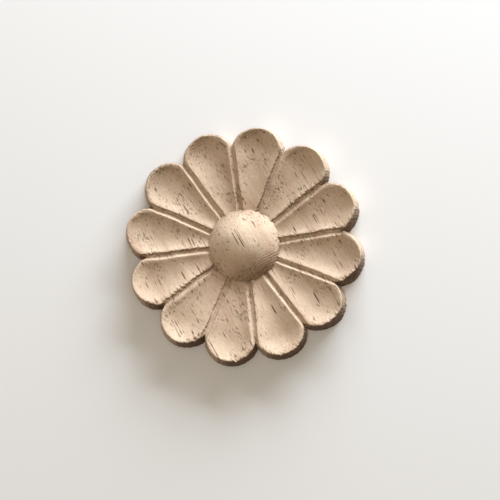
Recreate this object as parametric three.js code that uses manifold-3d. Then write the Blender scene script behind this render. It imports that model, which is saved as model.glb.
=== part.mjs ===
// Carved wood applique: a flat-backed rosette of twelve scooped petals round a plain dome.
// It is one carved piece of wood. It lies on its flat back on z = 0, with its middle on the
// z axis, the dome up and one petal along +y. Millimetres.
import * as THREE from 'three';
import { mergeVertices } from 'three/addons/utils/BufferGeometryUtils.js';
import Module from 'manifold-3d';

const wasm = await Module();
wasm.setup();

// Outline
const petalCount = 12;
const tipRadius = 30; // middle to a petal's tip, at the back
const lobeRadius = 6.9; // the round end of a petal, at the back
const rimHeight = 5.5; // back to the sharp edge at a petal's tip
const wallFlare = 0.95; // how far the back stands out beyond that edge
const tipLand = 0.1; // flat left between the scoop and the wall at the tip

// Dished top, with a scoop in each petal
const dishDrop = 2.9; // how much lower the petals lie where they meet the dome
const scoopEdgeAngle = THREE.MathUtils.degToRad(30); // steepness of a scoop at its edge

// V-shaped grooves between the petals
const grooveWidth = 1.6;
const grooveDepth = 1;

// Dome
const domeRadius = 8.7; // where it meets the edges of the petals
const overallHeight = 6.5; // back to the top of the dome

// Facets
const lobeFacets = 72; // round a whole lobe
const scoopFacets = 60; // round a whole scoop cutter
const scoopEndFacets = 20; // along the round end of a scoop cutter
const domeFacets = 72;
const domeRings = 12;

// Worked out from the sizes above
const overcut = grooveWidth; // how far a cutter reaches past what it cuts
const halfPetal = Math.PI / petalCount; // half the angle that a petal takes
const lobeCentre = tipRadius - lobeRadius;
const edgeRadius = tipRadius - wallFlare;
const dishSlope = dishDrop / (edgeRadius - domeRadius);
const dishAngle = Math.atan(dishSlope);

// Height of a petal's dished top, at a distance along the petal's middle line.
function dishHeight(along) {
  return rimHeight - dishSlope * (edgeRadius - along);
}

// Where petal number index points, and the groove that follows it.
function petalAngle(index) {
  return Math.PI / 2 + 2 * halfPetal * index;
}

function grooveAngle(index) {
  return petalAngle(index) + halfPetal;
}

function solidOf(geometry) {
  const bare = geometry.clone();
  bare.deleteAttribute('normal');
  bare.deleteAttribute('uv');
  const merged = mergeVertices(bare);
  return new wasm.Manifold(new wasm.Mesh({
    numProp: 3,
    vertProperties: new Float32Array(merged.attributes.position.array),
    triVerts: new Uint32Array(merged.index.array),
  }));
}

function geometryOf(solid) {
  const { vertProperties, numProp, triVerts } = solid.getMesh();
  const geometry = new THREE.BufferGeometry();
  geometry.setAttribute('position', new THREE.BufferAttribute(vertProperties, numProp));
  geometry.setIndex(new THREE.BufferAttribute(triVerts, 1));
  geometry.computeVertexNormals();
  return geometry;
}

// A shape turned about the z axis, from an outline of [radius, height] points.
function turned(outline, facets, startAngle = 0) {
  const points = outline.map(([radius, height]) => new THREE.Vector2(radius, height));
  return new THREE.LatheGeometry(points, facets, startAngle).rotateX(Math.PI / 2);
}

// One petal's end: a round lobe whose wall flares out towards the back.
function lobe(index) {
  const height = rimHeight + overcut;
  const topRadius = lobeRadius - wallFlare * height / rimHeight;
  const wall = new THREE.CylinderGeometry(topRadius, lobeRadius, height, lobeFacets);
  wall.rotateX(Math.PI / 2);
  wall.translate(lobeCentre, 0, height / 2);
  return solidOf(wall.rotateZ(petalAngle(index)));
}

// The plain middle of the blank, out to where neighbouring lobes meet.
function core() {
  const radius = lobeCentre * Math.cos(halfPetal);
  const height = rimHeight + overcut;
  return solidOf(turned([[0, 0], [radius, 0], [radius, height], [0, height]], lobeFacets));
}

// All that lies under the dished top, which has one flat facet for each petal.
function dish() {
  const outer = tipRadius + overcut;
  const inner = domeRadius / 2;
  const corner = 1 / Math.cos(halfPetal);
  const outline = [
    [0, 0],
    [outer * corner, 0],
    [outer * corner, dishHeight(outer)],
    [inner * corner, dishHeight(inner)],
    [0, dishHeight(inner)],
  ];
  return solidOf(turned(outline, petalCount, Math.PI + halfPetal));
}

// The hollow of one petal: a ball blended into a cone. The cone's point lies on the dished top
// where the edges of the two grooves beside the petal would meet, so the edges follow the grooves.
function scoopCutter(index) {
  const pointAlong = grooveWidth / 2 / Math.sin(halfPetal);
  const tipAlong = edgeRadius - tipLand;
  const halfSpread = Math.atan(Math.tan(halfPetal) * Math.cos(dishAngle));
  const reach = (tipAlong - pointAlong) / Math.cos(dishAngle);
  const endDistance = reach / (1 + Math.sin(halfSpread));
  const endRadius = endDistance * Math.sin(halfSpread);
  const ballRadius = endRadius / Math.sin(scoopEdgeAngle);
  const ballLift = ballRadius * Math.cos(scoopEdgeAngle);
  const ballDistance = Math.hypot(endDistance, ballLift);
  const tilt = dishAngle + Math.atan2(ballLift, endDistance);
  const coneAngle = Math.asin(ballRadius / ballDistance);

  const outline = [[0, 0]];
  for (let step = 0; step < scoopEndFacets; step += 1) {
    const turn = -coneAngle + (Math.PI / 2 + coneAngle) * step / scoopEndFacets;
    outline.push([ballRadius * Math.cos(turn), ballDistance + ballRadius * Math.sin(turn)]);
  }
  outline.push([0, ballDistance + ballRadius]);

  const cutter = turned(outline, scoopFacets);
  cutter.rotateY(Math.PI / 2 - tilt);
  cutter.translate(pointAlong, 0, dishHeight(pointAlong));
  return solidOf(cutter.rotateZ(petalAngle(index)));
}

// The V between two petals, which runs at one depth below the dished top.
function grooveCutter(index) {
  const start = domeRadius / 2;
  const slope = Math.atan(dishSlope * Math.cos(halfPetal));
  const length = (tipRadius + overcut - start) / Math.cos(slope);
  const halfTop = grooveWidth / 2 * (1 + overcut / grooveDepth);
  const section = new THREE.Shape([
    new THREE.Vector2(0, -grooveDepth),
    new THREE.Vector2(halfTop, overcut),
    new THREE.Vector2(-halfTop, overcut),
  ]);
  const cutter = new THREE.ExtrudeGeometry(section, { depth: length, bevelEnabled: false });
  const across = new THREE.Vector3(0, 1, 0);
  const outOfTop = new THREE.Vector3(-Math.sin(slope), 0, Math.cos(slope));
  const outward = new THREE.Vector3(Math.cos(slope), 0, Math.sin(slope));
  const place = new THREE.Matrix4().makeBasis(across, outOfTop, outward);
  place.setPosition(start, 0, dishHeight(start * Math.cos(halfPetal)));
  return solidOf(cutter.applyMatrix4(place).rotateZ(grooveAngle(index)));
}

// The round boss in the middle, a part of a ball that goes down to the back.
function dome() {
  const rise = overallHeight - dishHeight(domeRadius);
  const ballRadius = (domeRadius ** 2 + rise ** 2) / (2 * rise);
  const ballHeight = overallHeight - ballRadius;
  const lowest = Math.asin(THREE.MathUtils.clamp(-ballHeight / ballRadius, -1, 1));
  const outline = [[0, 0]];
  for (let step = 0; step < domeRings; step += 1) {
    const turn = lowest + (Math.PI / 2 - lowest) * step / domeRings;
    outline.push([ballRadius * Math.cos(turn), ballHeight + ballRadius * Math.sin(turn)]);
  }
  outline.push([0, overallHeight]);
  return solidOf(turned(outline, domeFacets));
}

function carvedRosette() {
  let rosette = core();
  for (let index = 0; index < petalCount; index += 1) {
    rosette = rosette.add(lobe(index));
  }
  rosette = rosette.intersect(dish());
  for (let index = 0; index < petalCount; index += 1) {
    rosette = rosette.subtract(scoopCutter(index)).subtract(grooveCutter(index));
  }
  return geometryOf(rosette.add(dome()));
}

const bareWood = new THREE.MeshStandardMaterial({
  color: 0xcdb193,
  roughness: 0.8,
  metalness: 0,
  flatShading: true,
});

const rosette = new THREE.Mesh(carvedRosette(), bareWood);
rosette.name = 'carved_rosette';

const applique = new THREE.Group();
applique.add(rosette);

export default applique;
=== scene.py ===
"""A carved wood rosette: twelve scooped petals round a plain dome, in bare rubberwood as it comes
from the carving machine. It builds the carving with its finish, and a plain stage."""
import math
from functools import partial

import bpy
import numpy as np
from bpy.props import FloatProperty, FloatVectorProperty, IntProperty, PointerProperty
from mathutils import Matrix, Vector


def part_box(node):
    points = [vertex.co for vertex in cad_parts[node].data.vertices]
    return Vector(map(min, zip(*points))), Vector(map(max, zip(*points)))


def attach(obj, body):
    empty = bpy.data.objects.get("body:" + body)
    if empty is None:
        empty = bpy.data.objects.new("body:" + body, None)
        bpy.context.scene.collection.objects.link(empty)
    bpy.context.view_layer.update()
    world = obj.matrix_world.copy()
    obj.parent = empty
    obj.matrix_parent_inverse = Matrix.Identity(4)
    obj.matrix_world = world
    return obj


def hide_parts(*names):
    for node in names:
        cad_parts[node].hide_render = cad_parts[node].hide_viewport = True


bl_info = {
    "name": "Carved Rosette",
    "version": (1, 0, 0),
    "blender": (4, 5, 0),
    "location": "3D View > Sidebar > Rosette",
    "description": "Builds a carved wood rosette with its finish, and a plain stage for it",
    "category": "Add Mesh",
}

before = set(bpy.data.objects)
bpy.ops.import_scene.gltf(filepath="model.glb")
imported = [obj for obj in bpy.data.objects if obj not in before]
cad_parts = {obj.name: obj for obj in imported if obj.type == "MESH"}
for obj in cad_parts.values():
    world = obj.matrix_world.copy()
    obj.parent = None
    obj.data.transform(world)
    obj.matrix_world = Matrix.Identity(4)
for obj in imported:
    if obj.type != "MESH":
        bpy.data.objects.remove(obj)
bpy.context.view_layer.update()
LOWEST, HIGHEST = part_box("carved_rosette")
MM = 0.001
FAR = 10 * MM  # stands for a gap too wide to matter
WAVES_AT_SCALE_ONE = 20 / math.tau  # Blender's wave texture, in waves per unit of length

# Nodes and settings that are used often
MATH = "ShaderNodeMath"
VECTOR_MATH = "ShaderNodeVectorMath"
MAP_RANGE = "ShaderNodeMapRange"
NOISE = "ShaderNodeTexNoise"
MIX = "ShaderNodeMix"
SMOOTH = {"interpolation_type": "SMOOTHSTEP"}
FALLING = {"To Min": 1.0, "To Max": 0.0}
MIDDLE_GREY = (0.5, 0.5, 0.5)
GREY_TO_FULL = (4, 4, 4)  # a noise's colour stays mostly within a quarter of middle grey


def length(name, description, default):
    """A length for the sidebar, in metres."""
    return FloatProperty(name=name, description=description, default=default, unit="LENGTH", precision=5)


def angle(name, description, degrees):
    """An angle for the sidebar, given here in degrees."""
    return FloatProperty(name=name, description=description, default=math.radians(degrees), unit="ROTATION")


def colour(name, description, hex_code):
    """A colour for the sidebar, given here as an sRGB hex code."""
    return FloatVectorProperty(name=name, description=description, default=linear(hex_code), size=4,
                               min=0, max=1, subtype="COLOR")


def linear(hex_code):
    """Turns an sRGB hex code into a linear colour with full alpha."""
    shares = [int(hex_code[place:place + 2], 16) / 255 for place in (0, 2, 4)]
    return tuple(s / 12.92 if s <= 0.04045 else ((s + 0.055) / 1.055) ** 2.4 for s in shares) + (1,)


class RosetteSizes(bpy.types.PropertyGroup):
    """Sizes of the carving. Those up to the overall height are the solid's."""

    petals: IntProperty(name="Petals", description="How many petals stand round the dome", default=12, min=3)
    first_petal: angle("First petal", "Which way the first petal points", 90)
    tip_radius: length("Tip radius", "Middle to a petal's tip, at the back", (HIGHEST[0] - LOWEST[0]) / 2)
    lobe_radius: length("Lobe radius", "Round end of a petal, at the back", 6.9 * MM)
    rim_height: length("Rim height", "Back to the sharp edge at a petal's tip", 5.5 * MM)
    wall_flare: length("Wall flare", "How far the back stands out beyond that edge", 0.95 * MM)
    tip_land: length("Tip land", "Flat between the scoop and the wall at the tip", 0.1 * MM)
    dish_drop: length("Dish drop", "How much lower the petals lie where they meet the dome", 2.9 * MM)
    scoop_edge: angle("Scoop edge", "Steepness of a scoop at its edge", 30)
    groove_width: length("Groove width", "Width of the groove between two petals", 1.6 * MM)
    groove_depth: length("Groove depth", "Depth of the same groove, before it is filled", 1 * MM)
    dome_radius: length("Dome radius", "Where the dome meets the edges of the petals", 8.7 * MM)
    overall_height: length("Overall height", "Back to the top of the dome", HIGHEST[2])

    groove_fill: length("Groove fill", "How far the bottom of a groove is filled", 0.38 * MM)
    groove_fullness: FloatProperty(name="Groove fullness", default=2.6, min=1,
                                   description="1 is a V, 2 a round bottom and more a flat one")
    arch: length("Arch", "How far the petals bulge between the dome and the tips", 0.2 * MM)
    blunting: length("Blunting", "How much of a sharp edge is worn away", 0.12 * MM)
    blunt_reach: length("Blunt reach", "How far from an edge that wear goes", 0.6 * MM)


class RosetteWear(bpy.types.PropertyGroup):
    """How far the carving strays from its true form."""

    tear_depth: length("Tear depth", "Depth of torn fibres where the cutter left the grain", 0.25 * MM)
    splinter: length("Splinter", "How far splinters stand out of a torn edge", 0.45 * MM)
    tear_reach: length("Tear reach", "How far back from an edge the fibres are torn", 1.3 * MM)
    bundle_width: length("Bundle width", "Width of a bundle of fibres that tears away", 0.55 * MM)
    bundle_length: length("Bundle length", "Length of such a bundle", 3 * MM)
    patch_span: length("Patch span", "Distance between patches of torn edge", 5 * MM)
    wander: length("Wander", "How far edges wander from their true lines", 0.22 * MM)
    wander_span: length("Wander span", "Distance over which they wander", 9 * MM)
    fuzz: length("Fuzz", "Unevenness of the walls, and less of it elsewhere", 0.1 * MM)
    fuzz_span: length("Fuzz span", "Distance from one such bump to the next", 0.8 * MM)
    seed: IntProperty(name="Seed", description="Picks one of the random patterns", default=7)


class RosetteWood(bpy.types.PropertyGroup):
    """Fibres, colours and pores of the wood."""

    grain_direction: angle("Grain direction", "Way the fibres run, seen from the front", -52)
    grain_rise: angle("Grain rise", "How steeply the fibres climb towards the front", 8)
    cream: colour("Cream", "Palest wood, on a surface cut along the fibres", "DBC2A7")
    tan: colour("Tan", "Warmer streaks in the same wood", "CBAD93")
    end_grain: colour("End grain", "Wood cut across the fibres", "8B6B4D")
    # The wall colour is end grain darkened further by painted shade
    wall: colour("Wall", "Duller wood of the walls, cut across the fibres", "5A3F27")
    pore: colour("Pore", "Inside an open pore", "5E3B22")
    pore_width: length("Pore width", "Width of a large open pore", 0.25 * MM)
    pore_gap: length("Pore gap", "Distance between large pores", 0.8 * MM)
    pore_run: length("Pore run", "Length over which a pore opens and shuts", 4 * MM)


class RosetteStage(bpy.types.PropertyGroup):
    """The floor, the lights and the camera."""

    floor: colour("Floor", "Colour of the floor", "F5F3F2")
    key: colour("Key", "Colour of the key light", "EBF5FF")
    fill: colour("Fill", "Colour of the light overhead and of the even light all round", "FFF3DF")
    key_direction: angle("Key direction", "Side that the key light comes from", 77)
    key_height: angle("Key height", "How high the key light stands", 15)
    key_power: FloatProperty(name="Key power", description="Power of the key light in watts", default=10.5)
    top_power: FloatProperty(name="Top power", description="Power of the light overhead in watts",
                             default=0.8)
    sky: FloatProperty(name="Sky", description="Strength of the even light all round", default=0.29)
    view_tilt: angle("View tilt", "How far the camera leans from straight above", 8.5)
    view_side: angle("View side", "Side to which the camera leans", -42)
    view_roll: angle("View roll", "How far the camera is turned about its line of sight", -8)
    view_distance: length("View distance", "Camera to the rosette", 450 * MM)


def add(tree, kind, inputs=None, **settings):
    """Adds a node with its settings. An input is given by its name or number, and takes a value, a
    socket, or a node, which stands for its first output."""
    node = tree.nodes.new(kind)
    for name, value in settings.items():
        setattr(node, name, value)
    for key, value in (inputs or {}).items():
        if isinstance(key, int):
            socket = node.inputs[key]
        else:
            socket = next(each for each in node.inputs if each.name == key and each.enabled)
        if isinstance(value, bpy.types.Node):
            value = next(each for each in value.outputs if each.enabled)
        if isinstance(value, bpy.types.NodeSocket):
            tree.links.new(value, socket)
        else:
            socket.default_value = value
    return node


def emptied(owner):
    """Gives a material or a world an empty node tree, and returns `add` for that tree."""
    owner.use_nodes = True
    owner.node_tree.nodes.clear()
    return partial(add, owner.node_tree)


def pointing(side, height):
    """The direction at an angle round from +x and at another up from level."""
    return Vector((math.cos(side) * math.cos(height), math.sin(side) * math.cos(height),
                   math.sin(height)))


class PetalForm:
    """One petal that points along +x: its surfaces as heights over the plan, and its main lines."""

    def __init__(self, sizes):
        self.sizes = sizes
        self.half_petal = math.pi / sizes.petals
        self.outward = np.array([math.cos(self.half_petal), math.sin(self.half_petal)])
        self.aside = np.array([-self.outward[1], self.outward[0]])
        self.lobe_centre = sizes.tip_radius - sizes.lobe_radius
        self.edge_radius = sizes.tip_radius - sizes.wall_flare
        self.dish_slope = sizes.dish_drop / (self.edge_radius - sizes.dome_radius)

        # The scoop is a ball blended into a cone, whose point lies where the edges of the two
        # grooves beside the petal would meet
        dish_angle = math.atan(self.dish_slope)
        self.foreshortening = math.cos(dish_angle)
        self.point_along = sizes.groove_width / 2 / math.sin(self.half_petal)
        spread = math.atan(math.tan(self.half_petal) * self.foreshortening)
        reach = (self.edge_radius - sizes.tip_land - self.point_along) / self.foreshortening
        end_distance = reach / (1 + math.sin(spread))
        self.end_along = self.point_along + end_distance * self.foreshortening
        self.end_radius = end_distance * math.sin(spread)
        self.ball_radius = self.end_radius / math.sin(sizes.scoop_edge)
        ball_lift = self.ball_radius * math.cos(sizes.scoop_edge)
        self.ball_distance = math.hypot(end_distance, ball_lift)
        self.tilt = dish_angle + math.atan2(ball_lift, end_distance)
        self.cone_angle = math.asin(self.ball_radius / self.ball_distance)

        # The dome is the cap of a ball
        rise = sizes.overall_height - self.dish_height(sizes.dome_radius)
        self.dome_ball = (sizes.dome_radius ** 2 + rise ** 2) / (2 * rise)

        # The scoop's edge leaves the groove at the tangent point
        tangent = end_distance * math.cos(spread)
        self.point = np.array([self.point_along, 0])
        self.tangent = self.point + [tangent * math.cos(spread) * self.foreshortening,
                                     tangent * math.sin(spread)]
        self.end = np.array([self.end_along, 0])

        # The notch is where the bases of two neighbouring lobes meet
        half_gap = self.lobe_centre * math.sin(self.half_petal)
        notch_along = self.lobe_centre * math.cos(self.half_petal)
        notch_along += math.sqrt(sizes.lobe_radius ** 2 - half_gap ** 2)
        self.notch = notch_along * self.outward

    def dish_height(self, x):
        """The petal's dished top, before it is hollowed."""
        return self.sizes.rim_height - self.dish_slope * (self.edge_radius - x)

    def groove_height(self, x, y):
        """The side of the groove, from its rounded bottom up."""
        slope = math.atan(self.dish_slope * self.outward[0])
        along = x * self.outward[0] + np.abs(y) * self.outward[1]
        aside = x * self.outward[1] - np.abs(y) * self.outward[0]
        depth = (self.sizes.groove_depth - self.sizes.groove_fill) / math.cos(slope)
        rise = (np.abs(aside) / (self.sizes.groove_width / 2)) ** self.sizes.groove_fullness
        return self.dish_height(along * self.outward[0]) + depth * (rise - 1)

    def scoop_height(self, x, y):
        """The hollow: the cone, and past the circle where the two touch, the ball."""
        from_point = x - self.point_along
        level = math.cos(self.tilt)
        climb = math.sin(self.tilt)
        narrow = math.cos(self.cone_angle) ** 2

        # Height above the cone's point is the lower root of a square equation
        square = climb ** 2 - narrow
        half_linear = from_point * level * climb
        constant = (from_point * level) ** 2 - narrow * (from_point ** 2 + y ** 2)
        root = np.sqrt(np.maximum(half_linear ** 2 - square * constant, 0))
        cone = (root - half_linear) / square

        from_ball = from_point - self.ball_distance * level
        drop = np.sqrt(np.maximum(self.ball_radius ** 2 - from_ball ** 2 - y ** 2, 0))
        ball = self.ball_distance * climb - drop
        on_cone = from_point * level + cone * climb <= self.ball_distance * narrow
        return self.dish_height(self.point_along) + np.where(on_cone, cone, ball)

    def wall_height(self, x, y):
        """The flared wall round the end of the petal, with no limit where the blank is whole."""
        inside = self.sizes.lobe_radius - np.hypot(x - self.lobe_centre, y)
        in_blank = np.hypot(x, y) < self.lobe_centre * self.outward[0]
        return np.where(in_blank, FAR, inside * self.sizes.rim_height / self.sizes.wall_flare)

    def dome_height(self, x, y):
        """The dome, and past its ball a height below everything else."""
        drop = self.sizes.overall_height - self.dome_ball
        return drop + np.sqrt(np.maximum(self.dome_ball ** 2 - x ** 2 - y ** 2, 0))

    def top_height(self, x, y):
        """Dished top and groove, without the scoop."""
        return np.minimum(self.dish_height(x), self.groove_height(x, y))

    def hollow_height(self, x, y):
        """Dished top, groove and scoop."""
        return np.minimum(self.top_height(x, y), self.scoop_height(x, y))

    def outer_height(self, x, y):
        """Top and wall, down to the back."""
        return np.clip(np.minimum(self.top_height(x, y), self.wall_height(x, y)), 0, None)

    def edge_distance(self, turn):
        """From the middle of the scoop's round end to its edge, seen from above."""
        stretch = np.hypot(np.cos(turn) / self.foreshortening, np.sin(turn))
        return self.end_radius / stretch


# Points in the petal's mesh
SCOOP_STEPS = 15  # from the petal's middle line to its edge
OUTER_STEPS = 12  # from that edge to the groove's bottom or the back
STRAIGHT_STEPS = 72  # from the dome to the scoop's round end
NOTCH_STEPS = 12  # round the end, as far as the notch
LOBE_STEPS = 48  # from there to the tip
DOME_RINGS = 26  # the outer part of the dome
CROWN_RINGS = 12  # the middle of the dome, which has a third of the columns
CROWDING_IN_SCOOP = 1.6  # over 1 draws the points towards the edge
CROWDING_OUTSIDE = 1.25
THINNING = 3  # columns of a fine row for each column of the next
FINE_POINTS = 240  # along a surface, to measure it by
HALVINGS = 40  # to find where a line goes under the dome

# Painted shade, and fuzz, cover this circle where a groove runs into the dome
PIT_RADIUS = 0.35 * MM  # dark all over, where a groove runs into the dome
WALL_START = 0.1 * MM  # below the petal's top
WALL_FADE = 0.5 * MM  # from there to where it is wall alone
BACK_BAND = 2 * MM  # above the back, over which changes of height come in
WELD_GAP = 0.002 * MM
ON_BACK = 0.001 * MM  # as good as height 0
LINE_REACH = 0.7 * MM  # of the fuzz beside edges and valleys

# Corners knocked off the rim: the petal, counted from the first one, the way the break faces, how
# far it leans back, and how deep it is at the rim
KNOCKS = (
    (10, math.radians(-33), math.radians(20), 0.25 * MM),
    (9, math.radians(-44), math.radians(12), 0.42 * MM),
    (8, math.radians(-38), math.radians(40), 0.4 * MM),
)
KNOCK_REACH = 2.8 * MM  # from the rim, as far as a break goes
KNOCK_FADE = 0.15 * MM  # depth at which a break is torn all over


class Skin:
    """Gathers a mesh: grids of points with their values, and the faces between them."""

    VALUES = {"edge_gap": FAR, "valley_gap": FAR, "wall": 0, "across": 0}  # unless others are given

    def __init__(self):
        self.points = []
        self.values = {name: [] for name in self.VALUES}
        self.faces = []
        self.count = 0

    def grid(self, points, **values):
        """Adds a grid of points and gives back their numbers, in the same grid."""
        shape = points.shape[:-1]
        numbers = self.count + np.arange(math.prod(shape)).reshape(shape)
        self.count += numbers.size
        self.points.append(points.reshape(-1, 3))
        for name, plain in self.VALUES.items():
            self.values[name].append(np.broadcast_to(values.get(name, plain), shape).ravel())
        return numbers

    def quads(self, numbers, turned=False):
        """Fills a grid of numbers with faces."""
        corners = [numbers[:-1, :-1], numbers[1:, :-1], numbers[1:, 1:], numbers[:-1, 1:]]
        if turned:
            corners.reverse()
        self.faces += np.stack(corners, axis=-1).reshape(-1, 4).tolist()

    def thin_out(self, fine, coarse):
        """Joins a row to one with a third of its columns."""
        for column in range(len(coarse) - 1):
            first, second, third, fourth = fine[THINNING * column:THINNING * column + 4]
            near, far = coarse[column:column + 2]
            self.faces += [[first, second, near], [second, third, far, near], [third, fourth, far]]

    def fan(self, middle, rim):
        """Joins a row to one point."""
        self.faces += [[one, other, middle] for one, other in zip(rim[:-1], rim[1:])]

    def mesh(self, name):
        made = bpy.data.meshes.new(name)
        made.from_pydata(np.concatenate(self.points).tolist(), [], self.faces)
        for value, parts in self.values.items():
            attribute = made.attributes.new(value, "FLOAT", "POINT")
            attribute.data.foreach_set("value", np.concatenate(parts).astype(np.float32))
        return made


def raised(plan, height):
    """Gives the points of a plan the heights of a surface."""
    x, y = plan[..., 0], plan[..., 1]
    return np.stack([x, y, height(x, y)], axis=-1)


def between(start, finish, shares):
    """Points on straight lines, one row of points for each line."""
    return start[..., None, :] + (finish - start)[..., None, :] * shares[:, None]


def foot_of(form, far, near, height):
    """Where lines that run in from far to near go under the dome."""
    low = np.zeros(len(far))
    high = np.ones(len(far))
    for _ in range(HALVINGS):
        middle = (low + high) / 2
        plan = far + (near - far) * middle[:, None]
        x, y = plan.T
        under = form.dome_height(x, y) > height(x, y)
        high = np.where(under, middle, high)
        low = np.where(under, low, middle)
    return far + (near - far) * low[:, None]


def outer_columns(form, start, finish):
    """From the edge down to the groove or the back, with points evenly spread over the surface."""
    fine = between(start, finish, np.linspace(0, 1, FINE_POINTS))
    run = raised(fine, form.outer_height)
    steps = np.linalg.norm(np.diff(run, axis=1), axis=-1)
    gone = np.concatenate([np.zeros((len(run), 1)), np.cumsum(steps, axis=1)], axis=1)
    wanted = np.linspace(0, 1, OUTER_STEPS + 1) ** CROWDING_OUTSIDE
    made = np.empty((len(run), OUTER_STEPS + 1, 3))
    for column, (points, way) in enumerate(zip(run, gone)):
        for axis in range(3):
            made[column, :, axis] = np.interp(wanted * way[-1], way, points[:, axis])
    return made


def half_petal_points(form):
    """The half with y over 0: columns from the dome to the tip, each from the middle line out."""
    scoop_shares = 1 - (1 - np.linspace(0, 1, SCOOP_STEPS + 1)) ** CROWDING_IN_SCOOP
    groove = form.tangent + form.aside * form.sizes.groove_width / 2

    # Along the straight sides, between the dome and the line across the scoop's round end
    across = between(form.end, form.tangent, scoop_shares)
    reach = form.tangent - form.point
    foot = foot_of(form, across, np.broadcast_to(form.point, across.shape), form.hollow_height)
    outer_far = np.stack([form.tangent, groove])
    outer_foot = foot_of(form, outer_far, outer_far - reach, form.top_height)
    along = np.linspace(0, 1, STRAIGHT_STEPS + 1)
    inner = raised(np.swapaxes(between(foot, across, along), 0, 1), form.hollow_height)
    lines = between(outer_foot, outer_far, along)
    outer = outer_columns(form, lines[0], lines[1])

    # Round the end, first to the notch and then to the tip
    start_turn = math.atan2(form.tangent[1], form.tangent[0] - form.end_along)
    notch_turn = math.atan2(form.notch[1], form.notch[0] - form.end_along)
    turns = np.concatenate([
        np.linspace(start_turn, notch_turn, NOTCH_STEPS + 1)[1:],
        np.linspace(notch_turn, 0, LOBE_STEPS + 1)[1:],
    ])
    ways = np.stack([np.cos(turns), np.sin(turns)], axis=-1)
    edge = form.end + ways * form.edge_distance(turns)[:, None]
    round_inner = raised(between(np.broadcast_to(form.end, edge.shape), edge, scoop_shares),
                         form.hollow_height)
    base_turns = np.linspace(math.atan2(form.notch[1], form.notch[0] - form.lobe_centre), 0,
                             LOBE_STEPS + 1)[1:]
    base = np.stack([form.lobe_centre + form.sizes.lobe_radius * np.cos(base_turns),
                     form.sizes.lobe_radius * np.sin(base_turns)], axis=-1)
    seam = groove + (form.notch - groove) * np.linspace(0, 1, NOTCH_STEPS + 1)[1:, None]
    round_outer = outer_columns(form, edge, np.concatenate([seam, base]))

    straight = np.concatenate([inner[:, :-1], outer], axis=1)
    rounded = np.concatenate([round_inner[:, :-1], round_outer], axis=1)
    side_turn = np.full(STRAIGHT_STEPS + 1, math.pi / 2 + form.half_petal)
    return np.concatenate([straight, rounded]), np.concatenate([side_turn, turns])


def petal_values(form, points, turns):
    """Closeness to edges and valleys, and what is wall, for the points of half a petal."""
    edge_gap = np.linalg.norm(points - points[:, SCOOP_STEPS:SCOOP_STEPS + 1], axis=-1)
    valley_gap = np.linalg.norm(points - points[:, -1:], axis=-1)
    valley_gap[STRAIGHT_STEPS + NOTCH_STEPS + 1:] = FAR
    straight = slice(0, STRAIGHT_STEPS + 1)
    foot_gap = np.linalg.norm(points[straight] - points[:1], axis=-1)
    valley_gap[straight] = np.minimum(valley_gap[straight], foot_gap)
    pit_gap = np.linalg.norm(points - points[0, -1], axis=-1)
    valley_gap = np.minimum(valley_gap, np.maximum(pit_gap - PIT_RADIUS, 0))
    below_top = form.top_height(points[..., 0], points[..., 1]) - points[..., 2]
    wall = np.clip((below_top - WALL_START) / WALL_FADE, 0, 1)
    wall[:, :SCOOP_STEPS] = 0
    return {"edge_gap": edge_gap, "valley_gap": valley_gap, "wall": wall, "across": turns[:, None]}


def dome_slice(skin, form, rim_points, rim):
    """The part of the dome between two grooves, from its foot to its middle."""
    radius = np.hypot(rim_points[::THINNING, 0], rim_points[::THINNING, 1])
    turn = np.arctan2(rim_points[::THINNING, 1], rim_points[::THINNING, 0])
    steepest = np.arcsin(radius / form.dome_ball)
    rings = DOME_RINGS + CROWN_RINGS
    centre = form.sizes.overall_height - form.dome_ball
    shares = 1 - np.arange(1, rings) / rings
    slope = steepest * shares[:, None]
    out = form.dome_ball * np.sin(slope)
    points = np.stack([out * np.cos(turn), out * np.sin(turn), centre + form.dome_ball * np.cos(slope)],
                      axis=-1)
    gap = (steepest - slope) * form.dome_ball
    for pit in (rim_points[0], rim_points[-1]):
        gap = np.minimum(gap, np.maximum(np.linalg.norm(points - pit, axis=-1) - PIT_RADIUS, 0))
    outer = skin.grid(points[:DOME_RINGS], valley_gap=gap[:DOME_RINGS])
    crown = skin.grid(points[DOME_RINGS:, ::THINNING], valley_gap=gap[DOME_RINGS:, ::THINNING])
    top = skin.grid(np.array([[0, 0, form.sizes.overall_height]]))
    skin.thin_out(rim, outer[0])
    skin.quads(outer, turned=True)
    skin.thin_out(outer[-1], crown[0])
    skin.quads(crown, turned=True)
    skin.fan(top[0], crown[-1])


def eased(sizes, points, edge_gap):
    """Arches the petal a little and blunts its edges, but leaves the back flat."""
    radius = np.hypot(points[..., 0], points[..., 1])
    share = np.clip((radius - sizes.dome_radius) / (sizes.tip_radius - sizes.dome_radius), 0, 1)
    arched = sizes.arch * 4 * share * (1 - share)
    blunted = sizes.blunting * np.clip(1 - edge_gap / sizes.blunt_reach, 0, 1) ** 2
    off_back = np.clip(points[..., 2] / BACK_BAND, 0, 1)
    made = points.copy()
    made[..., 2] += (arched - blunted) * off_back
    return made


def petal_mesh(sizes):
    """One petal with its share of the dome, the wall and the back."""
    form = PetalForm(sizes)
    skin = Skin()
    points, turns = half_petal_points(form)
    values = petal_values(form, points, turns)
    points = eased(sizes, points, values["edge_gap"])
    left = skin.grid(points, **values)
    skin.quads(left)
    mirrored = points * [1, -1, 1]
    right = skin.grid(mirrored, **(values | {"across": -values["across"]}))
    skin.quads(right, turned=True)

    rim = np.concatenate([right[0, :0:-1], left[0]])
    rim_points = np.concatenate([mirrored[0, :0:-1], points[0]])
    dome_slice(skin, form, rim_points, rim)

    lobe = slice(STRAIGHT_STEPS + NOTCH_STEPS, None)
    outline = np.concatenate([left[lobe, -1], right[lobe, -1][-2::-1]])
    middle = skin.grid(np.zeros((1, 3)))
    skin.fan(middle[0], outline)
    return skin.mesh("petal")


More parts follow.
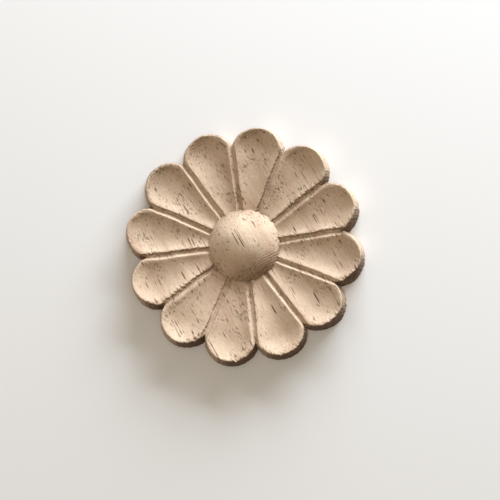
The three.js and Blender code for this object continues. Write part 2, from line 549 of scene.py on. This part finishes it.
def knock_off(make, geometry, sizes, petal, faces, lean, depth):
    """Breaks a corner off a petal's rim, and marks the break as torn."""
    turn = sizes.first_petal + math.tau * petal / sizes.petals
    lobe_centre = sizes.tip_radius - sizes.lobe_radius
    rim_radius = sizes.lobe_radius - sizes.wall_flare
    rim = Vector((lobe_centre * math.cos(turn) + rim_radius * math.cos(faces),
                  lobe_centre * math.sin(turn) + rim_radius * math.sin(faces), sizes.rim_height))
    way = pointing(faces, lean)
    place = make("GeometryNodeInputPosition")
    out = make(VECTOR_MATH, {0: place, 1: tuple(way)}, operation="DOT_PRODUCT").outputs["Value"]
    over = make(MATH, {0: out, 1: rim.dot(way) - depth}, operation="SUBTRACT")
    lost = make(MATH, {0: over, 1: 0.0}, operation="MAXIMUM")
    away = make(VECTOR_MATH, {0: place, 1: tuple(rim)}, operation="DISTANCE").outputs["Value"]
    near = make(MATH, {0: away, 1: KNOCK_REACH}, operation="LESS_THAN")
    taken = make(MATH, {0: lost, 1: near}, operation="MULTIPLY")
    torn = make("GeometryNodeInputNamedAttribute", {"Name": "torn"}, data_type="FLOAT")
    broken = make(MAP_RANGE, {"Value": taken, "From Max": KNOCK_FADE})
    either = make(MATH, {0: torn, 1: broken}, operation="MAXIMUM")
    marked = make("GeometryNodeStoreNamedAttribute",
                  {"Geometry": geometry, "Name": "torn", "Value": either}, data_type="FLOAT")
    shift = make(VECTOR_MATH, {0: tuple(-way), "Scale": taken}, operation="SCALE")
    return make("GeometryNodeSetPosition", {"Geometry": marked, "Offset": shift})


def rosette_tree(sizes, inputs):
    """Sets the petal round the dome, welds the copies, and wears the whole as the cutter left it."""
    tree = bpy.data.node_groups.new("rosette_from_one_petal", "GeometryNodeTree")
    make = partial(add, tree)
    kinds = {int: "Int", float: "Float", bpy.types.Material: "Material"}
    tree.interface.new_socket("Petal", in_out="INPUT", socket_type="NodeSocketGeometry")
    for name, value in inputs.items():
        tree.interface.new_socket(name, in_out="INPUT", socket_type="NodeSocket" + kinds[type(value)])
    tree.interface.new_socket("Rosette", in_out="OUTPUT", socket_type="NodeSocketGeometry")
    given = make("NodeGroupInput").outputs

    # Copies round the middle
    spots = make("GeometryNodePoints", {"Count": given["Petals"]})
    whole_turns = make(MATH, {0: make("GeometryNodeInputIndex"), 1: math.tau}, operation="MULTIPLY")
    share = make(MATH, {0: whole_turns, 1: given["Petals"]}, operation="DIVIDE")
    turn = make(MATH, {0: share, 1: given["First petal"]}, operation="ADD")
    turned = make("ShaderNodeCombineXYZ", {"Z": turn})
    copies = make("GeometryNodeInstanceOnPoints",
                  {"Points": spots, "Instance": given["Petal"], "Rotation": turned})
    marked = make("GeometryNodeStoreNamedAttribute",
                  {"Geometry": copies, "Name": "petal_turn", "Value": turn},
                  data_type="FLOAT", domain="INSTANCE")
    loose = make("GeometryNodeRealizeInstances", {"Geometry": marked})
    welded = make("GeometryNodeMergeByDistance", {"Geometry": loose, "Distance": WELD_GAP})

    # What the mesh says of each point, and the noises that wear it
    place = make("GeometryNodeInputPosition")
    edge_gap, valley_gap, wall, across, petal_turn = (
        make("GeometryNodeInputNamedAttribute", {"Name": name}, data_type="FLOAT")
        for name in ("edge_gap", "valley_gap", "wall", "across", "petal_turn"))
    in_grain = make("ShaderNodeVectorRotate", {"Vector": place, "Angle": given["Grain direction"]},
                    rotation_type="Z_AXIS", invert=True)
    width = given["Bundle width"]
    bundle_span = make("ShaderNodeCombineXYZ", {"X": given["Bundle length"], "Y": width, "Z": width})
    noises = {}
    for name, point, span in (("bundle", in_grain, bundle_span), ("patch", place, given["Patch span"]),
                              ("wander", place, given["Wander span"]),
                              ("fuzz", place, given["Fuzz span"])):
        scaled = make(VECTOR_MATH, {0: point, 1: span}, operation="DIVIDE")
        noises[name] = make(NOISE, {"Vector": scaled, "W": given["Seed"], "Scale": 1.0, "Detail": 1.0},
                            noise_dimensions="4D").outputs

    # Torn fibres, in bundles along the grain, on the edges that face down the grain
    torn_bundle = make(MAP_RANGE, {"Value": noises["bundle"][0], "From Min": 0.42, "From Max": 0.62},
                       **SMOOTH)
    patch = make(MAP_RANGE, {"Value": noises["patch"][0], "From Min": 0.35, "From Max": 0.6,
                             "To Min": 0.3}, **SMOOTH)
    facing = make(MATH, {0: across, 1: petal_turn}, operation="ADD")
    from_grain = make(MATH, {0: facing, 1: given["Grain direction"]}, operation="SUBTRACT")
    down_grain = make(MATH, {0: from_grain}, operation="COSINE")
    left_by_cutter = make(MAP_RANGE, {"Value": down_grain, "From Min": 0.7, "From Max": 0.97,
                                      "To Min": 0.1}, **SMOOTH)
    weak = make(MATH, {0: patch, 1: left_by_cutter}, operation="MULTIPLY")
    share_torn = make(MATH, {0: torn_bundle, 1: weak}, operation="MULTIPLY")
    reach = make(MATH, {0: share_torn, 1: given["Tear reach"]}, operation="MULTIPLY")
    broken_back = make(MAP_RANGE, {"Value": edge_gap, "From Max": reach} | FALLING, **SMOOTH)
    torn = make(MATH, {0: broken_back, 1: share_torn}, operation="MULTIPLY")
    kept = make("GeometryNodeStoreNamedAttribute",
                {"Geometry": welded, "Name": "torn", "Value": torn}, data_type="FLOAT")
    depth = make(MATH, {0: torn, 1: given["Tear depth"]}, operation="MULTIPLY")
    inwards = make(VECTOR_MATH, {0: make("GeometryNodeInputNormal"), 1: (-1, -1, -1)},
                   operation="MULTIPLY")
    bite = make(VECTOR_MATH, {0: inwards, "Scale": depth}, operation="SCALE")
    bitten = make("GeometryNodeSetPosition", {"Geometry": kept, "Offset": bite})

    # Splinters, which lengthen or shorten the edge along the grain
    at_edge = make(MAP_RANGE, {"Value": edge_gap, "From Max": given["Tear reach"]} | FALLING, **SMOOTH)
    uneven = make(MAP_RANGE, {"Value": noises["bundle"][0], "From Min": 0.35, "From Max": 0.65,
                              "To Min": -1.0})
    splintered = make(MATH, {0: at_edge, 1: weak}, operation="MULTIPLY")
    stand_out = make(MATH, {0: splintered, 1: given["Splinter"]}, operation="MULTIPLY")
    stand_by = make(MATH, {0: stand_out, 1: uneven}, operation="MULTIPLY")
    along_x = make("ShaderNodeCombineXYZ", {"X": stand_by})
    down_fibres = make("ShaderNodeVectorRotate",
                       {"Vector": along_x, "Angle": given["Grain direction"]}, rotation_type="Z_AXIS")
    frayed = make("GeometryNodeSetPosition", {"Geometry": bitten, "Offset": down_fibres})

    # What moves by a noise leaves the back flat
    height = make("ShaderNodeSeparateXYZ", {"Vector": place}).outputs["Z"]
    off_back = make(MAP_RANGE, {"Value": height, "From Max": BACK_BAND})
    free = make("ShaderNodeCombineXYZ", {"X": 1.0, "Y": 1.0, "Z": off_back})

    def shaken(geometry, noise, size):
        """Moves the points by a noise, whose colour lies round a middle grey."""
        either_way = make(VECTOR_MATH, {0: noise[1], 1: MIDDLE_GREY}, operation="SUBTRACT")
        full = make(VECTOR_MATH, {0: either_way, 1: GREY_TO_FULL}, operation="MULTIPLY")
        loosened = make(VECTOR_MATH, {0: full, 1: free}, operation="MULTIPLY")
        shift = make(VECTOR_MATH, {0: loosened, "Scale": size}, operation="SCALE")
        return make("GeometryNodeSetPosition", {"Geometry": geometry, "Offset": shift})

    # Wandering edges, and corners knocked off the rim
    knocked = shaken(frayed, noises["wander"], given["Wander"])
    for knock in KNOCKS:
        knocked = knock_off(make, knocked, sizes, *knock)

    # Fuzz, all of it on the walls, half along edges and valleys, and a little everywhere
    line_gap = make(MATH, {0: edge_gap, 1: valley_gap}, operation="MINIMUM")
    line_fuzz = make(MAP_RANGE, {"Value": line_gap, "From Max": LINE_REACH, "To Min": 0.5,
                                 "To Max": 0.12}, **SMOOTH)
    fuzz_share = make(MATH, {0: line_fuzz, 1: wall}, operation="MAXIMUM")
    fuzz_size = make(MATH, {0: fuzz_share, 1: given["Fuzz"]}, operation="MULTIPLY")
    fuzzed = shaken(knocked, noises["fuzz"], fuzz_size)

    # Smooth all over, but for the sharp edge round the back
    smooth = make("GeometryNodeSetShadeSmooth", {"Geometry": fuzzed, "Shade Smooth": True})
    on_back = make(MATH, {0: height, 1: ON_BACK}, operation="LESS_THAN")
    bend = make("GeometryNodeInputMeshEdgeAngle")
    sharp = make(MATH, {0: bend, 1: math.radians(30)}, operation="GREATER_THAN")
    back_edge = make("FunctionNodeBooleanMath", {0: on_back, 1: sharp}, operation="AND")
    creased = make("GeometryNodeSetShadeSmooth",
                   {"Geometry": smooth, "Selection": back_edge, "Shade Smooth": False}, domain="EDGE")

    plain = make("GeometryNodeRealizeInstances", {"Geometry": creased})
    finished = make("GeometryNodeSetMaterial", {"Geometry": plain, "Material": given["Wood"]})
    make("NodeGroupOutput", {"Rosette": finished})
    return tree


# Noises drawn out along the fibres: their spans along, across and through the wood in millimetres,
# and their detail
GRAIN_NOISES = {
    "fibres": ((1.3, 0.32, 0.32), 3.0),
    "streaks": ((40, 3.5, 5), 3.0),
    "nicks": ((0.95, 0.5, 0.5), 2.0),
    "splinters": ((1.5, 0.28, 0.28), 2.0),
}

BEND_SPAN = 7 * MM  # over which the fibres wander
BEND_SIZE = 0.3 * MM
PATCH_SPAN = 4.5 * MM  # from one patch of plucked fibres to the next
MOTTLE_SPAN = 0.5 * MM  # tufts of torn fibre tips
STEP_SPAN = 0.57 * MM  # from one of the cutter's steps to the next
SMALL_PORE_GAP = 0.45 * MM
SMALL_PORE_HALF = 0.06 * MM  # about twice as wide as real ones, so that they show
# Least and most reach of the painted shade from the bottom of a groove
LEAST_CREASE_SHADE_REACH = 0.2 * MM  # from the bottom of a groove
MOST_CREASE_SHADE_REACH = 0.6 * MM

# Heights of the relief
NICK_DEPTH = 0.035 * MM
PORE_DEPTH = 0.055 * MM
FIBRE_RISE = 0.022 * MM
FUZZ_RISE = 0.16 * MM
SPLINTER_RISE = 0.3 * MM
STEP_RISE = 0.09 * MM


def bare_rubberwood(wood):
    """Rubberwood as the carving machine leaves it, with no oil or lacquer: cream to tan, dull, with
    large open pores that show as dark dashes along the fibres and as dots where they are cut across,
    and a browner, rougher look where the cutter met the ends of the fibres."""
    material = bpy.data.materials.new("rubberwood_bare_machine_carved")
    make = emptied(material)
    torn, wall, valley_gap = (make("ShaderNodeAttribute", attribute_name=name).outputs["Fac"]
                              for name in ("torn", "wall", "valley_gap"))

    # Coordinates with x along the fibres, which wander a little
    texture = make("ShaderNodeTexCoord").outputs
    grain = make("ShaderNodeMapping", {"Vector": texture["Object"],
                                       "Rotation": (0, -wood.grain_rise, wood.grain_direction)},
                 vector_type="TEXTURE")
    bend = make(NOISE, {"Vector": grain, "Scale": 1 / BEND_SPAN, "Detail": 1.0}).outputs[1]
    bend_mid = make(VECTOR_MATH, {0: bend, 1: MIDDLE_GREY}, operation="SUBTRACT")
    bend_by = make(VECTOR_MATH, {0: bend_mid, 1: (0, 2 * BEND_SIZE, 2 * BEND_SIZE)},
                   operation="MULTIPLY")
    wavy = make(VECTOR_MATH, {0: grain, 1: bend_by}, operation="ADD")
    noises = {}
    for name, (span, detail) in GRAIN_NOISES.items():
        drawn_out = make(VECTOR_MATH, {0: wavy, 1: tuple(side * MM for side in span)},
                         operation="DIVIDE")
        noises[name] = make(NOISE, {"Vector": drawn_out, "Scale": 1.0, "Detail": detail}).outputs[0]

    # How far the surface faces along the fibres: 0 beside them, 1 at their ends
    fibre = Matrix.Rotation(wood.grain_direction, 3, "Z") @ Matrix.Rotation(-wood.grain_rise, 3, "Y")
    along = make(VECTOR_MATH, {0: texture["Normal"], 1: tuple(fibre @ Vector((1, 0, 0)))},
                 operation="DOT_PRODUCT").outputs["Value"]
    either = make(MATH, {0: along}, operation="ABSOLUTE")
    ends = make(MAP_RANGE, {"Value": either, "From Min": 0.3, "From Max": 1.0}, **SMOOTH)

    # Large pores: tubes along the fibres, each open in some stretches and shut in others
    axes = make("ShaderNodeSeparateXYZ", {"Vector": wavy}).outputs
    section = make("ShaderNodeCombineXYZ", {"X": axes["Y"], "Y": axes["Z"]})
    pores = make("ShaderNodeTexVoronoi", {"Vector": section, "Scale": 1 / wood.pore_gap},
                 voronoi_dimensions="2D").outputs
    tube = make("ShaderNodeSeparateColor", {"Color": pores["Color"]})
    few_large = make(MATH, {0: tube.outputs["Red"], 1: 2.5}, operation="POWER")
    tube_width = make(MAP_RANGE, {"Value": few_large, "To Min": 0.65, "To Max": 1.45})
    from_middle = make(MATH, {0: pores["Distance"], 1: tube_width}, operation="DIVIDE")
    pore_half = wood.pore_width / 2 / wood.pore_gap
    in_pore = make(MAP_RANGE, {"Value": from_middle, "From Min": 0.4 * pore_half,
                               "From Max": 1.6 * pore_half} | FALLING, **SMOOTH)
    own_place = make(VECTOR_MATH, {0: pores["Color"], 1: (50, 50, 50)}, operation="MULTIPLY")
    run = make(MATH, {0: axes["X"], 1: wood.pore_run}, operation="DIVIDE")
    run_place = make("ShaderNodeCombineXYZ", {"X": run})
    stretch_place = make(VECTOR_MATH, {0: own_place, 1: run_place}, operation="ADD")
    stretches = make(NOISE, {"Vector": stretch_place, "Scale": 1.0, "Detail": 1.0}).outputs[0]
    open_pore = make(MAP_RANGE, {"Value": stretches, "From Min": 0.42, "From Max": 0.62}, **SMOOTH)
    pore = make(MATH, {0: in_pore, 1: open_pore}, operation="MULTIPLY")
    tube_tone = make(MAP_RANGE, {"Value": few_large, "To Min": 0.5, "To Max": 1.0})

    # Small pores
    small_half = SMALL_PORE_HALF / SMALL_PORE_GAP
    small_pores = make("ShaderNodeTexVoronoi", {"Vector": section, "Scale": 1 / SMALL_PORE_GAP},
                       voronoi_dimensions="2D").outputs["Distance"]
    small_pore = make(MAP_RANGE, {"Value": small_pores, "From Min": 0.7 * small_half,
                                  "From Max": 2 * small_half} | FALLING, **SMOOTH)

    # Fine fibres, and broad streaks of growth
    warm = make(MAP_RANGE, {"Value": noises["streaks"], "From Min": 0.35, "From Max": 0.68})
    wood_colour = make(MIX, {"Factor": warm, "A": wood.cream, "B": wood.tan}, data_type="RGBA")
    fibre_tone = make(MAP_RANGE, {"Value": noises["fibres"], "From Min": 0.3, "From Max": 0.7,
                                  "To Min": 0.9, "To Max": 1.06})
    fibred = make(VECTOR_MATH, {0: wood_colour, "Scale": fibre_tone}, operation="SCALE")

    # End grain, mottled by the torn tips of the fibres
    mottle = make(NOISE, {"Vector": texture["Object"], "Scale": 1 / MOTTLE_SPAN,
                          "Detail": 3.0}).outputs[0]
    mottle_tone = make(MAP_RANGE, {"Value": mottle, "From Min": 0.3, "From Max": 0.7,
                                   "To Min": 0.55, "To Max": 1.25})
    end_share = make(MATH, {0: ends, 1: mottle_tone}, operation="MULTIPLY", use_clamp=True)

    # Patches where the cutter plucked the fibres, which left short dark nicks
    patch = make(NOISE, {"Vector": texture["Object"], "Scale": 1 / PATCH_SPAN,
                         "Detail": 1.0}).outputs[0]
    in_patch = make(MAP_RANGE, {"Value": patch, "From Min": 0.49, "From Max": 0.66}, **SMOOTH)
    in_nick = make(MAP_RANGE, {"Value": noises["nicks"], "From Min": 0.52, "From Max": 0.66}, **SMOOTH)
    nick = make(MATH, {0: in_nick, 1: in_patch}, operation="MULTIPLY")
    nick_share = make(MATH, {0: nick, 1: 0.55}, operation="MULTIPLY")

    # Torn edges, browner in the hollows between their splinters
    between_splinters = make(MAP_RANGE, {"Value": noises["splinters"], "From Min": 0.62,
                                         "From Max": 0.4})
    torn_share = make(MATH, {0: torn, 1: between_splinters}, operation="MULTIPLY")

    # Walls: a coat of end grain and painted shade, heavier where they are cut across the fibres
    wall_grain_and_shade = make(MAP_RANGE, {"Value": ends, "To Min": 0.15, "To Max": 0.8})
    wall_grain_and_shade_share = make(MATH, {0: wall, 1: wall_grain_and_shade}, operation="MULTIPLY")

    # Painted shade at the bottom of the grooves and round the foot of the dome, darker in patches
    deepest_crease_shade = make(MAP_RANGE, {"Value": mottle, "From Min": 0.35, "From Max": 0.65,
                            "To Min": 0.58, "To Max": 0.9})
    crease_shade_reach = make(MAP_RANGE, {"Value": patch, "From Min": 0.4, "From Max": 0.65,
                                  "To Min": LEAST_CREASE_SHADE_REACH, "To Max": MOST_CREASE_SHADE_REACH})
    crease_shade_tone = make(MAP_RANGE, {"Value": valley_gap, "From Max": crease_shade_reach, "To Min": deepest_crease_shade,
                                   "To Max": 1.0}, **SMOOTH)

    # Steps that the cutter leaves where it meets the fibres head on, with painted shade in lines along them
    step_place = make("ShaderNodeMapping",
                      {"Vector": texture["Object"], "Rotation": (0, 0, wood.grain_direction)},
                      vector_type="TEXTURE")
    steps = make("ShaderNodeTexWave",
                 {"Vector": step_place, "Scale": 1 / STEP_SPAN / WAVES_AT_SCALE_ONE,
                  "Distortion": 0.8, "Detail": 1.0, "Detail Scale": 1.0}, bands_direction="X")
    head_on = make(MAP_RANGE, {"Value": along, "From Min": 0.5, "From Max": 0.6}, **SMOOTH)
    step_share = make(MATH, {0: head_on, 1: mottle_tone}, operation="MULTIPLY")
    stepped = make(MATH, {0: steps.outputs["Fac"], 1: step_share}, operation="MULTIPLY")
    # Painted shade, in lines along the steps
    step_shade_tone = make(MAP_RANGE, {"Value": stepped, "To Min": 1.0, "To Max": 0.76})

    # The colour, in coats over the plain wood, with the pores over everything
    small_share = make(MATH, {0: small_pore, 1: 0.15}, operation="MULTIPLY")
    pore_share = make(MATH, {0: pore, 1: tube_tone}, operation="MULTIPLY")
    coat = fibred
    # The wall coat is end grain and painted shade
    for share, shade in ((end_share, wood.end_grain), (nick_share, wood.pore),
                         (torn_share, wood.end_grain), (wall_grain_and_shade_share, wood.wall)):
        coat = make(MIX, {"Factor": share, "A": coat, "B": shade}, data_type="RGBA")
    # Painted shade in the grooves and round the dome's foot, then along the cutter's steps
    for tone in (crease_shade_tone, step_shade_tone):
        coat = make(VECTOR_MATH, {0: coat, "Scale": tone}, operation="SCALE")
    for share in (small_share, pore_share):
        coat = make(MIX, {"Factor": share, "A": coat, "B": wood.pore}, data_type="RGBA")

    # Relief, in metres: nicks, pores, raised fibres, fuzz on end grain, splinters and steps
    rough = make(MATH, {0: ends, 1: wall}, operation="MAXIMUM")
    fuzzy = make(MAP_RANGE, {"Value": rough, "To Min": 0.25, "To Max": 1.0})
    unstepped = make(MAP_RANGE, {"Value": head_on, "To Min": fuzzy, "To Max": 0.3})
    fuzz = make(MATH, {0: mottle, 1: unstepped}, operation="MULTIPLY")
    torn_fuzz = make(MATH, {0: noises["splinters"], 1: torn}, operation="MULTIPLY")
    relief = 0.0
    for shape, rise in ((nick, -NICK_DEPTH), (pore, -PORE_DEPTH), (noises["fibres"], FIBRE_RISE),
                        (fuzz, FUZZ_RISE), (torn_fuzz, SPLINTER_RISE), (stepped, STEP_RISE)):
        relief = make(MATH, {0: shape, 1: rise, 2: relief}, operation="MULTIPLY_ADD")
    bump = make("ShaderNodeBump", {"Strength": 1.0, "Distance": 1.0, "Height": relief})
    surface = make("ShaderNodeBsdfPrincipled",
                   {"Base Color": coat, "Roughness": 0.82, "IOR": 1.5, "Normal": bump})
    make("ShaderNodeOutputMaterial", {"Surface": surface})
    return material


def pale_floor(shade):
    """A sheet of matt pale board, which gives the rosette an even ground."""
    material = bpy.data.materials.new("floor_matt_board")
    make = emptied(material)
    surface = make("ShaderNodeBsdfPrincipled", {"Base Color": shade, "Roughness": 0.9})
    make("ShaderNodeOutputMaterial", {"Surface": surface})
    return material


class ROSETTE_OT_carve(bpy.types.Operator):
    """Build the carving from one petal, set round the dome and worn"""

    bl_idname = "rosette.carve"
    bl_label = "Carve Rosette"

    def execute(self, context):
        sizes = context.scene.rosette_sizes
        wear = context.scene.rosette_wear
        wood = context.scene.rosette_wood
        inputs = {
            "Petals": sizes.petals,
            "First petal": sizes.first_petal,
            "Grain direction": wood.grain_direction,
            "Wood": bare_rubberwood(wood),
        }
        for name in RosetteWear.__annotations__:
            inputs[wear.bl_rna.properties[name].name] = getattr(wear, name)
        tree = rosette_tree(sizes, inputs)
        piece = bpy.data.objects.new("rosette_carving", petal_mesh(sizes))
        context.scene.collection.objects.link(piece)
        modifier = piece.modifiers.new("petals", "NODES")
        modifier.node_group = tree
        for item in tree.interface.items_tree:
            if item.in_out == "INPUT" and item.name in inputs:
                modifier[item.identifier] = inputs[item.name]
        evaluated = piece.evaluated_get(context.evaluated_depsgraph_get())
        piece.data = bpy.data.meshes.new_from_object(evaluated)
        piece.modifiers.clear()
        if len(piece.data.polygons) == 0:
            raise RuntimeError("the carving came out empty")
        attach(piece, "root")
        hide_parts("carved_rosette")
        return {"FINISHED"}


class ROSETTE_OT_stage(bpy.types.Operator):
    """Lay the floor and set up the lights and the camera"""

    bl_idname = "rosette.stage"
    bl_label = "Set Stage"

    def execute(self, context):
        stage = context.scene.rosette_stage
        scene = context.scene
        scene.view_settings.view_transform = "Standard"
        self.lay_floor(scene, stage)
        side = stage.key_direction
        key_box = (0.6, 0.26)
        top_box = (0.4, 0.4)
        self.hang_light(scene, "key", (side, stage.key_height), key_box, stage.key_power, stage.key)
        self.hang_light(scene, "top", (side, math.pi / 2), top_box, stage.top_power, stage.fill)
        self.light_all_round(scene, stage)
        self.place_camera(scene, stage)
        return {"FINISHED"}

    def lay_floor(self, scene, stage):
        reach = 1.5
        gap = 0.02 * MM  # keeps the floor clear of the back
        under = LOWEST[2] - gap
        corners = [(-reach, -reach, under), (reach, -reach, under), (reach, reach, under),
                   (-reach, reach, under)]
        mesh = bpy.data.meshes.new("floor")
        mesh.from_pydata(corners, [], [(0, 1, 2, 3)])
        mesh.materials.append(pale_floor(stage.floor))
        floor = bpy.data.objects.new("floor", mesh)
        scene.collection.objects.link(floor)

    def hang_light(self, scene, name, direction, size, power, tint):
        """A soft box that faces the rosette. Its direction is a side and a height, as angles."""
        light = bpy.data.lights.new(name, "AREA")
        light.shape = "RECTANGLE"
        light.size, light.size_y = size
        light.energy = power
        light.color = tint[:3]
        lamp = bpy.data.objects.new(name, light)
        towards = pointing(*direction)
        distance = 0.65
        lamp.location = towards * distance
        lamp.rotation_euler = towards.to_track_quat("Z", "Y").to_euler()
        lamp.visible_camera = False
        scene.collection.objects.link(lamp)

    def light_all_round(self, scene, stage):
        world = bpy.data.worlds.new("studio")
        make = emptied(world)
        background = make("ShaderNodeBackground", {"Color": stage.fill, "Strength": stage.sky})
        make("ShaderNodeOutputWorld", {"Surface": background})
        scene.world = world

    def place_camera(self, scene, stage):
        """The camera looks down on the rosette from a little to one side."""
        frame_pixels = 500
        focal_pixels = 1824.75
        aim = Vector((0, 0, 3 * MM))
        frame_offset = (1.5 * MM, -1.23 * MM)  # so that the rosette sits left of and above the middle
        back = pointing(stage.view_side, math.pi / 2 - stage.view_tilt)
        up = Vector((0, 1, 0))
        up = (up - back * up.dot(back)).normalized()
        right = up.cross(back)
        roll = Matrix.Rotation(-stage.view_roll, 3, back)
        up = roll @ up
        right = roll @ right
        data = bpy.data.cameras.new("camera")
        data.sensor_width = 36
        data.lens = focal_pixels / frame_pixels * data.sensor_width
        camera = bpy.data.objects.new("camera", data)
        place = aim + right * frame_offset[0] + up * frame_offset[1] + back * stage.view_distance
        camera.matrix_world = Matrix.Translation(place) @ Matrix((right, up, back)).transposed().to_4x4()
        scene.collection.objects.link(camera)
        scene.camera = camera


class ROSETTE_PT_sidebar(bpy.types.Panel):
    """Lists the rosette's settings and steps"""

    bl_idname = "ROSETTE_PT_sidebar"
    bl_label = "Rosette"
    bl_space_type = "VIEW_3D"
    bl_region_type = "UI"
    bl_category = "Rosette"

    def draw(self, context):
        for group in GROUPS:
            settings = getattr(context.scene, group)
            column = self.layout.column(align=True)
            for name in settings.__annotations__:
                column.prop(settings, name)
        for operator in STEPS:
            self.layout.operator(operator.bl_idname)


GROUPS = {
    "rosette_sizes": RosetteSizes,
    "rosette_wear": RosetteWear,
    "rosette_wood": RosetteWood,
    "rosette_stage": RosetteStage,
}
STEPS = (ROSETTE_OT_carve, ROSETTE_OT_stage)


def register():
    for group in GROUPS.values():
        bpy.utils.register_class(group)
    for step in STEPS:
        bpy.utils.register_class(step)
    bpy.utils.register_class(ROSETTE_PT_sidebar)
    for name, group in GROUPS.items():
        setattr(bpy.types.Scene, name, PointerProperty(type=group))


def unregister():
    for name in GROUPS:
        delattr(bpy.types.Scene, name)
    bpy.utils.unregister_class(ROSETTE_PT_sidebar)
    for step in reversed(STEPS):
        bpy.utils.unregister_class(step)
    for group in reversed(GROUPS.values()):
        bpy.utils.unregister_class(group)


def main():
    register()
    bpy.ops.rosette.carve()
    bpy.ops.rosette.stage()


if __name__ == "__main__":
    main()
